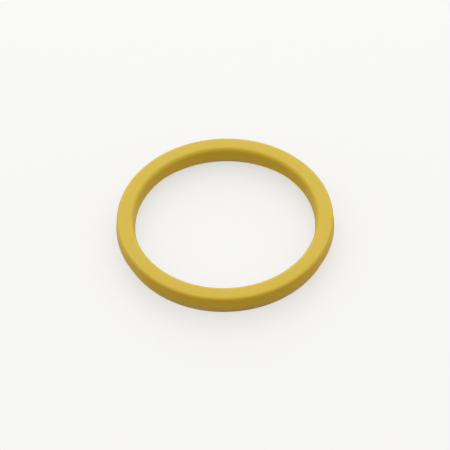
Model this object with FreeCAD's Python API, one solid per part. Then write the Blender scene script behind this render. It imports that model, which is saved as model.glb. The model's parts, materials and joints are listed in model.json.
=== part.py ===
"""Rod seal of the u-cup kind: one moulded polyurethane ring with a U section, lying on its lips.

Lengths are in millimetres and angles in degrees. The ring is turned about Z, and Z = 0 is the plane of the
two lip tips. The plain heel is on top, and the pressure groove opens downwards between the lips.
"""

import FreeCAD
import Part

import os
from math import cos, radians, sin, tan

# The gland that the seal fills: the rod in its middle, the width from rod to gland wall, and its height
rod_diameter = 80.0
section_width = 7.5
seal_height = 10.0

# The heel stands clear of the rod and of the gland wall, with straight walls and rounded corners
heel_length = 3.2
heel_rod_clearance = 0.15
heel_gland_clearance = 0.1
heel_rod_corner_radius = 1.6
heel_gland_corner_radius = 1.1

# The lips flare from the heel to their sharp sealing edges, past the rod's surface and the gland wall
rod_lip_interference = 0.6
gland_lip_interference = 0.3
rod_edge_height = 3.9
gland_edge_height = 4.5
lip_bend_radius = 3.0

# Below its sealing edge each lip is trimmed back to a narrow flat tip
rod_trim_angle = 35.5
gland_trim_angle = 21.5
lip_tip_width = 0.6

# The pressure groove between the lips, with sides that lean together and a full round root
groove_depth = 4.8
groove_side_angle = 2.5

# The two roundings at the ends of a side take at most this share of it, so that they never meet
fullest_side = 0.95

# A rounding that turns further than this angle is made of two arcs
longest_turn = 35.0

# Radii from the ring's axis, and the height at which the lips leave the straight heel
rod_radius = rod_diameter / 2
gland_radius = rod_radius + section_width
heel_bore_radius = rod_radius + heel_rod_clearance
heel_outside_radius = gland_radius - heel_gland_clearance
rod_edge_radius = rod_radius - rod_lip_interference
gland_edge_radius = gland_radius + gland_lip_interference
rod_tip_radius = rod_edge_radius + rod_edge_height * tan(radians(rod_trim_angle))
gland_tip_radius = gland_edge_radius - gland_edge_height * tan(radians(gland_trim_angle))
bend_height = seal_height - heel_length

# The groove's mouth lies between the lip tips, and its root is a circle that touches both sides at its depth
mouth_rod_side = rod_tip_radius + lip_tip_width
mouth_gland_side = gland_tip_radius - lip_tip_width
groove_middle = (mouth_rod_side + mouth_gland_side) / 2
half_mouth = (mouth_gland_side - mouth_rod_side) / 2
side_lean = radians(groove_side_angle)
root_radius = (half_mouth * cos(side_lean) - groove_depth * sin(side_lean)) / (1 - sin(side_lean))
root_height = groove_depth - root_radius

# Angles about the root's centre: its top, and where it meets the groove's two sides
root_top_angle = 90.0
root_gland_angle = groove_side_angle
root_rod_angle = 2 * root_top_angle - groove_side_angle


def point(radius, height):
    """A point of the section, at a distance from the axis and a height over the lip tips."""
    return FreeCAD.Vector(radius, 0, height)


def outside_corners():
    """The corners of the section and their roundings, from the rod lip over the heel to the gland lip."""
    return [
        (point(mouth_rod_side, 0), 0),
        (point(rod_tip_radius, 0), 0),
        (point(rod_edge_radius, rod_edge_height), 0),
        (point(heel_bore_radius, bend_height), lip_bend_radius),
        (point(heel_bore_radius, seal_height), heel_rod_corner_radius),
        (point(heel_outside_radius, seal_height), heel_gland_corner_radius),
        (point(heel_outside_radius, bend_height), lip_bend_radius),
        (point(gland_edge_radius, gland_edge_height), 0),
        (point(gland_tip_radius, 0), 0),
        (point(mouth_gland_side, 0), 0),
    ]


def half_angle(before, corner, after):
    """Half the angle between the two sides that meet at a corner."""
    return (before - corner).getAngle(after - corner) / 2


def rounding_reaches(corners):
    """How far from each corner its rounding starts, less where a side is too short for both of its ends."""
    points = [place for place, rounding in corners]
    wanted = [0.0] * len(corners)
    for number in range(1, len(corners) - 1):
        turned = half_angle(points[number - 1], points[number], points[number + 1])
        wanted[number] = corners[number][1] / tan(turned)
    fits = []
    for number in range(len(corners) - 1):
        room = fullest_side * points[number].distanceToPoint(points[number + 1])
        fits.append(room / max(room, wanted[number] + wanted[number + 1]))
    reaches = [0.0] * len(corners)
    for number in range(1, len(corners) - 1):
        reaches[number] = wanted[number] * min(fits[number - 1], fits[number])
    return reaches


def straight_edge(start, end):
    """A straight side of the section."""
    return Part.LineSegment(start, end).toShape()


def arc_edges(start, middle, end):
    """The arc of a rounding, in two halves where it turns far."""
    arc = Part.Arc(start, middle, end).toShape()
    first, last = arc.ParameterRange
    if last - first < radians(longest_turn):
        return [arc]
    return arc.split((first + last) / 2).Edges


def rounding_edges(before, corner, after, reach):
    """Where the rounding at a corner starts, its arcs and where it ends. A sharp corner has none."""
    if not reach:
        return corner, [], corner
    half = half_angle(before, corner, after)
    start = corner + (before - corner).normalize() * reach
    end = corner + (after - corner).normalize() * reach
    inward = ((start + end) / 2 - corner).normalize()
    middle = corner + inward * (reach / cos(half) - reach * tan(half))
    return start, arc_edges(start, middle, end), end


def outside_edges():
    """The edges of the section outside the groove, with their roundings."""
    corners = outside_corners()
    reaches = rounding_reaches(corners)
    points = [place for place, rounding in corners]
    edges = []
    side_start = points[0]
    for number in range(1, len(points) - 1):
        around = points[number - 1:number + 2]
        start, arcs, end = rounding_edges(*around, reaches[number])
        edges.append(straight_edge(side_start, start))
        edges.extend(arcs)
        side_start = end
    edges.append(straight_edge(side_start, points[-1]))
    return edges


def root_point(angle):
    """A point of the groove's round root, at an angle from the level line through its centre."""
    turned = radians(angle)
    return point(groove_middle + root_radius * cos(turned), root_height + root_radius * sin(turned))


def root_arcs(first, last):
    """The arcs of the round root between two angles."""
    return arc_edges(root_point(first), root_point((first + last) / 2), root_point(last))


def groove_edges():
    """The edges of the groove: up its gland side, round its root and down its rod side."""
    gland_side = straight_edge(point(mouth_gland_side, 0), root_point(root_gland_angle))
    rod_side = straight_edge(root_point(root_rod_angle), point(mouth_rod_side, 0))
    gland_half = root_arcs(root_gland_angle, root_top_angle)
    rod_half = root_arcs(root_top_angle, root_rod_angle)
    return [gland_side] + gland_half + rod_half + [rod_side]


def u_cup_seal():
    """The whole ring: its section turned once round the axis."""
    section = Part.Face(Part.Wire(outside_edges() + groove_edges()))
    return section.revolve(point(0, 0), point(0, 1), 360)


def report(seal):
    """Prints what the seal measures, and where its heel's walls are straight."""
    print(f"valid {seal.isValid()}, volume {seal.Volume:.1f} mm3")
    for face in seal.Faces:
        if face.Surface.TypeId == "Part::GeomCylinder":
            box = face.BoundBox
            print(f"straight wall of radius {face.Surface.Radius:.3f} from {box.ZMin:.2f} to {box.ZMax:.2f}")
    print(f"lip tips {rod_tip_radius:.2f} and {gland_tip_radius:.2f}")
    print(f"groove from {mouth_rod_side:.2f} to {mouth_gland_side:.2f}, root radius {root_radius:.2f}")


seal = u_cup_seal()
os.makedirs("parts", exist_ok=True)
seal.exportStep("parts/u_cup_seal.step")
report(seal)
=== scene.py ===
import json
from math import cos, pi, radians, sin, tan

import bmesh
import bpy
from mathutils import Matrix, Vector


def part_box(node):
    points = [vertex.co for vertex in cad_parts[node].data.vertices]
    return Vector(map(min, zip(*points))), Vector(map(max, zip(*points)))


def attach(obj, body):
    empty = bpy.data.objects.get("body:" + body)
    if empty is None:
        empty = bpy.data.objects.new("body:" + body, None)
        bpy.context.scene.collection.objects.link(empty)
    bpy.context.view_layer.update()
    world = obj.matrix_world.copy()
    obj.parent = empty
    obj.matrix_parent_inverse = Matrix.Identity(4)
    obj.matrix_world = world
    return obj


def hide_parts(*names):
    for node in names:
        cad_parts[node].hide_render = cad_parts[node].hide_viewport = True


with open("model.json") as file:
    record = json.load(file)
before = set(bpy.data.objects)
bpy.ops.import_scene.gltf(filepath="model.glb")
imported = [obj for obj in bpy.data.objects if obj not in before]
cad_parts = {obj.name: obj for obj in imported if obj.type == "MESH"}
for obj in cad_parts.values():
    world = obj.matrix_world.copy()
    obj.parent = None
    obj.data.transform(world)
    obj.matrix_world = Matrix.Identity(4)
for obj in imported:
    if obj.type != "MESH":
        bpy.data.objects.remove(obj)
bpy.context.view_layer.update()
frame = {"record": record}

# The seal itself: one ring of ochre polyurethane, injection moulded with a U section.
# It lies on its two flared lips, heel up. Below its sealing edge each lip is trimmed back to a narrow
# tip, and the pressure groove opens downwards between the tips.

mm = 0.001
mounts = {mount["name"]: mount["dims"]["r_mm"] for mount in frame["record"]["mounts"] if mount["dims"]}
heel_bore = mounts["rod_bore"]
heel_outside = mounts["gland_seat"]
seal_low, seal_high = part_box("u_cup_seal")
seal_height = (seal_high.z - seal_low.z) / mm
gland_edge = seal_high.x / mm

heel_length = 3.2
heel_bore_rounding = 1.6
heel_outside_rounding = 1.1

rod_edge = 39.4
rod_edge_height = 3.9
gland_edge_height = 4.5
rod_trim_angle = radians(35.5)
gland_trim_angle = radians(21.5)
rod_tip = rod_edge + rod_edge_height * tan(rod_trim_angle)
gland_tip = gland_edge - gland_edge_height * tan(gland_trim_angle)
lip_bend_rounding = 3.0
sealing_edge_rounding = 0.25
tip_width = 0.6
tip_rounding = 0.12

groove_depth = 4.8
groove_lean = radians(2.5)
groove_middle = (rod_tip + gland_tip) / 2
groove_half_mouth = (gland_tip - rod_tip) / 2 - tip_width
groove_half_root = groove_half_mouth - groove_depth * tan(groove_lean)
groove_root_rounding = (
    (groove_half_mouth * cos(groove_lean) - groove_depth * sin(groove_lean)) / (1 - sin(groove_lean)))

steps_round_the_ring = 360
degrees_per_facet = 6
fewest_facets = 2
merge_distance = 0.001


def section_corners():
    """Radius, height and rounding of each corner, from the rod lip's tip over the heel and back."""
    return [
        (rod_tip, 0, tip_rounding),
        (rod_edge, rod_edge_height, sealing_edge_rounding),
        (heel_bore, seal_height - heel_length, lip_bend_rounding),
        (heel_bore, seal_height, heel_bore_rounding),
        (heel_outside, seal_height, heel_outside_rounding),
        (heel_outside, seal_height - heel_length, lip_bend_rounding),
        (gland_edge, gland_edge_height, sealing_edge_rounding),
        (gland_tip, 0, tip_rounding),
        (gland_tip - tip_width, 0, tip_rounding),
        (groove_middle + groove_half_root, groove_depth, groove_root_rounding),
        (groove_middle - groove_half_root, groove_depth, groove_root_rounding),
        (rod_tip + tip_width, 0, tip_rounding),
    ]


def round_corner(outline, corner, rounding):
    """Rounds one corner with an arc, which starts where a circle of that radius touches both sides."""
    sides = [edge.other_vert(corner).co - corner.co for edge in corner.link_edges]
    half_angle = sides[0].angle(sides[1]) / 2
    turn = pi - 2 * half_angle
    bmesh.ops.bevel(
        outline,
        geom=[corner],
        offset=rounding * mm / tan(half_angle),
        offset_type="OFFSET",
        segments=max(fewest_facets, round(turn / radians(degrees_per_facet))),
        profile=0.5,
        affect="VERTICES",
        material=-1,
    )


def seal_ring():
    """The section, rounded corner by corner and spun once round the axis."""
    ring = bmesh.new()
    corners = section_corners()
    points = [ring.verts.new((radius * mm, 0, height * mm)) for radius, height, rounding in corners]
    ring.faces.new(points)
    for point, (radius, height, rounding) in zip(points, corners):
        round_corner(ring, point, rounding)
    bmesh.ops.delete(ring, geom=ring.faces[:], context="FACES_ONLY")
    bmesh.ops.spin(
        ring,
        geom=ring.verts[:] + ring.edges[:],
        cent=(0, 0, 0),
        axis=(0, 0, 1),
        angle=2 * pi,
        steps=steps_round_the_ring,
        use_merge=True,
    )
    bmesh.ops.remove_doubles(ring, verts=ring.verts[:], dist=merge_distance * mm)
    bmesh.ops.recalc_face_normals(ring, faces=ring.faces[:])
    for face in ring.faces:
        face.smooth = True
    mesh = bpy.data.meshes.new("moulded_ring")
    ring.to_mesh(mesh)
    ring.free()
    return mesh


def linear(hex_colour):
    """A colour written as sRGB hex, in the linear values that a shader takes."""
    channels = [int(hex_colour[place:place + 2], 16) / 255 for place in (1, 3, 5)]
    return [c / 12.92 if c <= 0.04045 else ((c + 0.055) / 1.055) ** 2.4 for c in channels] + [1]


def add_node(tree, kind, inputs, **settings):
    """Adds one node with its settings, and sets or links each input."""
    node = tree.nodes.new(kind)
    for name, value in settings.items():
        setattr(node, name, value)
    for name, value in inputs.items():
        if isinstance(value, bpy.types.NodeSocket):
            tree.links.new(value, node.inputs[name])
        else:
            node.inputs[name].default_value = value
    return node


def moulded_polyurethane():
    """Ochre thermoplastic polyurethane, injection moulded in a fine satin mould.

    Its colour is deep and slightly clouded, light passes a little way into it, and the satin skin gives it a
    broad, even sheen with hardly any highlight.
    """
    darker_ochre = linear("#D8C029")
    lighter_ochre = linear("#E0C42B")
    cloud_size = 14 * mm
    flow_mark_size = 5 * mm
    faintest_mark = 0.3
    strongest_mark = 0.7
    glossiest_skin = 0.46
    dullest_skin = 0.54
    satin_grain = 0.5 * mm  # the real grain is about 0.1 mm, too fine to show here
    grain_depth = 0.003 * mm
    polyurethane_ior = 1.5
    light_let_in = 0.7
    light_depth = 2.2 * mm
    depth_by_colour = (1.0, 0.5, 0.15)  # red light goes in deepest, and blue light hardly does
    material = bpy.data.materials.new("moulded_polyurethane")
    material.use_nodes = True
    tree = material.node_tree
    tree.nodes.clear()
    place = add_node(tree, "ShaderNodeTexCoord", {})
    clouds = add_node(tree, "ShaderNodeTexNoise", {
        "Vector": place.outputs["Object"], "Scale": 1 / cloud_size, "Detail": 3, "Roughness": 0.5})
    colour = add_node(tree, "ShaderNodeMix", {
        "Factor": clouds.outputs["Fac"], "A": darker_ochre, "B": lighter_ochre}, data_type="RGBA")
    flow_marks = add_node(tree, "ShaderNodeTexNoise", {
        "Vector": place.outputs["Object"], "Scale": 1 / flow_mark_size, "Detail": 2, "Roughness": 0.6})
    gloss = add_node(tree, "ShaderNodeMapRange", {
        "Value": flow_marks.outputs["Fac"], "From Min": faintest_mark, "From Max": strongest_mark,
        "To Min": glossiest_skin, "To Max": dullest_skin})
    grain = add_node(tree, "ShaderNodeTexNoise", {
        "Vector": place.outputs["Object"], "Scale": 1 / satin_grain, "Detail": 2, "Roughness": 0.5})
    skin = add_node(tree, "ShaderNodeBump", {
        "Height": grain.outputs["Fac"], "Strength": 0.6, "Distance": grain_depth})
    surface = add_node(tree, "ShaderNodeBsdfPrincipled", {
        "Base Color": colour.outputs["Result"], "Roughness": gloss.outputs["Result"],
        "IOR": polyurethane_ior, "Normal": skin.outputs["Normal"], "Subsurface Weight": light_let_in,
        "Subsurface Radius": depth_by_colour, "Subsurface Scale": light_depth})
    add_node(tree, "ShaderNodeOutputMaterial", {"Surface": surface.outputs["BSDF"]})
    return material


seal = bpy.data.objects.new("u_cup_ring", seal_ring())
bpy.context.scene.collection.objects.link(seal)
seal.data.materials.append(moulded_polyurethane())
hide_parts("u_cup_seal")
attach(seal, "root")

# The floor: a sheet of matt white paper on a light table, which runs far past the view.
# Its own light makes it almost white, so that the seal's shadow on it stays faint.

floor_half_width = 2.0


def eye_rays(tree):
    """1 where the eye sees a surface, also mirrored in gloss or through something clear, and 0 elsewhere."""
    ray = add_node(tree, "ShaderNodeLightPath", {})
    seen = add_node(tree, "ShaderNodeMath", {
        0: ray.outputs["Is Camera Ray"], 1: ray.outputs["Is Glossy Ray"]}, operation="MAXIMUM")
    seen = add_node(tree, "ShaderNodeMath", {
        0: seen.outputs["Value"], 1: ray.outputs["Is Transmission Ray"]}, operation="MAXIMUM")
    return seen.outputs["Value"]


def matt_white_paper():
    """Uncoated white paper, lit from below.

    The eye sees it almost white, with no gloss. To all other light it is a dim brown card, so that little
    light comes back up to the seal's walls, and what comes is warm.
    """
    seen_colour = linear("#F6FBFF")
    card_colour = linear("#9F7950")
    glow_share = 0.6
    material = bpy.data.materials.new("matt_white_paper")
    material.use_nodes = True
    tree = material.node_tree
    tree.nodes.clear()
    seen = eye_rays(tree)
    colour = add_node(tree, "ShaderNodeMix", {
        "Factor": seen, "A": card_colour, "B": seen_colour}, data_type="RGBA")
    paper = add_node(tree, "ShaderNodeBsdfDiffuse", {"Color": colour.outputs["Result"]})
    glow = add_node(tree, "ShaderNodeEmission", {"Color": (1, 1, 1, 1), "Strength": 1})
    share = add_node(tree, "ShaderNodeMath", {0: seen, 1: glow_share}, operation="MULTIPLY")
    lit_paper = add_node(tree, "ShaderNodeMixShader", {
        "Fac": share.outputs["Value"], 1: paper.outputs["BSDF"], 2: glow.outputs["Emission"]})
    add_node(tree, "ShaderNodeOutputMaterial", {"Surface": lit_paper.outputs["Shader"]})
    return material


sheet = bmesh.new()
bmesh.ops.create_grid(sheet, x_segments=1, y_segments=1, size=floor_half_width)
sheet_mesh = bpy.data.meshes.new("white_sheet")
sheet.to_mesh(sheet_mesh)
sheet.free()
floor = bpy.data.objects.new("floor", sheet_mesh)
bpy.context.scene.collection.objects.link(floor)
floor.data.materials.append(matt_white_paper())

# The light: one broad, slightly cool softbox behind and above, seen as the even sheen on the heel.
# The pale room round it is a little warm, brightest at its sides, and brighter behind and overhead than
# in front and below. The eye sees the room as plain white.

softbox_elevation = radians(34.1)
softbox_distance = 1.4
softbox_width = 1.27
softbox_power = 8.2
softbox_colour = "#F3F9FF"

room_brightness = 0.404
more_at_the_sides = 0.573
more_at_the_back = 0.130
more_overhead = 0.139
room_colour = "#FFF6EB"

softbox = bpy.data.lights.new("softbox", "AREA")
softbox.shape = "SQUARE"
softbox.size = softbox_width
softbox.energy = softbox_power
softbox.color = linear(softbox_colour)[:3]
softbox_object = bpy.data.objects.new("softbox", softbox)
to_softbox = Vector((0, cos(softbox_elevation), sin(softbox_elevation)))
softbox_object.matrix_world = (
    Matrix.Translation(to_softbox * softbox_distance)
    @ to_softbox.to_track_quat("Z", "Y").to_matrix().to_4x4())
bpy.context.scene.collection.objects.link(softbox_object)

room = bpy.data.worlds.new("pale_room")
room.use_nodes = True
room_tree = room.node_tree
room_tree.nodes.clear()
place_in_room = add_node(room_tree, "ShaderNodeTexCoord", {})
direction = add_node(room_tree, "ShaderNodeSeparateXYZ", {"Vector": place_in_room.outputs["Generated"]})
sideways = add_node(room_tree, "ShaderNodeMath", {0: direction.outputs["X"]}, operation="ABSOLUTE")
brightness = add_node(room_tree, "ShaderNodeMath", {
    0: sideways.outputs["Value"], 1: more_at_the_sides, 2: room_brightness}, operation="MULTIPLY_ADD")
brightness = add_node(room_tree, "ShaderNodeMath", {
    0: direction.outputs["Y"], 1: more_at_the_back,
    2: brightness.outputs["Value"]}, operation="MULTIPLY_ADD")
brightness = add_node(room_tree, "ShaderNodeMath", {
    0: direction.outputs["Z"], 1: more_overhead,
    2: brightness.outputs["Value"]}, operation="MULTIPLY_ADD")
room_light = add_node(room_tree, "ShaderNodeBackground", {
    "Color": linear(room_colour), "Strength": brightness.outputs["Value"]})
white_backdrop = add_node(room_tree, "ShaderNodeBackground", {"Color": (1, 1, 1, 1), "Strength": 1})
room_surface = add_node(room_tree, "ShaderNodeMixShader", {
    "Fac": eye_rays(room_tree),
    1: room_light.outputs["Background"],
    2: white_backdrop.outputs["Background"]})
add_node(room_tree, "ShaderNodeOutputWorld", {"Surface": room_surface.outputs["Shader"]})
bpy.context.scene.world = room

# The camera: a long lens 1.4 m away, 48 degrees above the floor and rolled a little, as the photograph
# was taken.

photo_width = 450
photo_aim = (225.17, 224.19)  # where the ring's middle is in the photograph, in pixels from its top left
film_width = 36
lens_length = 251.69
camera_elevation = radians(48.39)
camera_roll = radians(1.66)
camera_distance = 1.379
aim_height = 5 * mm

camera_data = bpy.data.cameras.new("camera")
camera_data.sensor_width = film_width
camera_data.lens = lens_length
camera_data.shift_x = (photo_width / 2 - photo_aim[0]) / photo_width
camera_data.shift_y = (photo_aim[1] - photo_width / 2) / photo_width
camera = bpy.data.objects.new("camera", camera_data)
to_camera = Vector((0, -cos(camera_elevation), sin(camera_elevation)))
camera.matrix_world = (
    Matrix.Translation(Vector((0, 0, aim_height)) + to_camera * camera_distance)
    @ to_camera.to_track_quat("Z", "Y").to_matrix().to_4x4()
    @ Matrix.Rotation(-camera_roll, 4, "Z"))
bpy.context.scene.collection.objects.link(camera)
bpy.context.scene.camera = camera

# The picture shows each colour as it is, with no look of film.

bpy.context.scene.view_settings.view_transform = "Standard"
